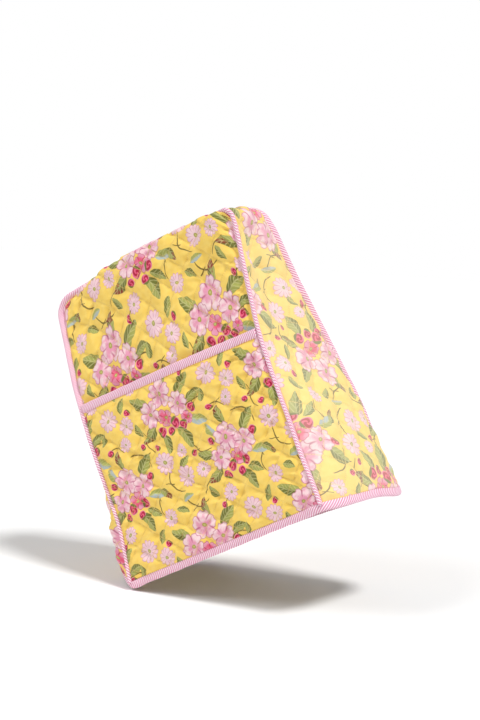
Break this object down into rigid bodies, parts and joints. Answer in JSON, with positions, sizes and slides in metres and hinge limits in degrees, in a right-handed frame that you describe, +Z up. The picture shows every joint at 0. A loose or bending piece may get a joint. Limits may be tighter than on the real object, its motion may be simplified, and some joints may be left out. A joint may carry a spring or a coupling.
{
  "type": "quilted stand mixer cover",
  "caption": "Quilted cotton dust cover for a stand mixer, floral print with striped bias binding and a full-width patch pocket, hanging tilted and hollow",
  "frame": {"origin": "the place under the top where the cover rests on the machine's head, in the middle of the top's length", "axes": "+X towards the machine's front, -Y the side with the pocket, +Z up, as the cover hangs tilted 25 degrees front end up"},
  "size_m": [0.5269, 0.2054, 0.5571],
  "materials": {
    "quilted_print": "quilted cotton, yellow ground with pink blossom and green leaves",
    "striped_binding": "pink and white striped cotton cut on the bias"
  },
  "bodies": {
    "root": {"pocket_panel": "quilted_print", "back_panel": "quilted_print", "gusset": "quilted_print", "pocket": "quilted_print", "pocket_binding": "striped_binding", "near_seam_binding": "striped_binding", "far_seam_binding": "striped_binding", "hem_binding": "striped_binding"}
  },
  "joints": []
}
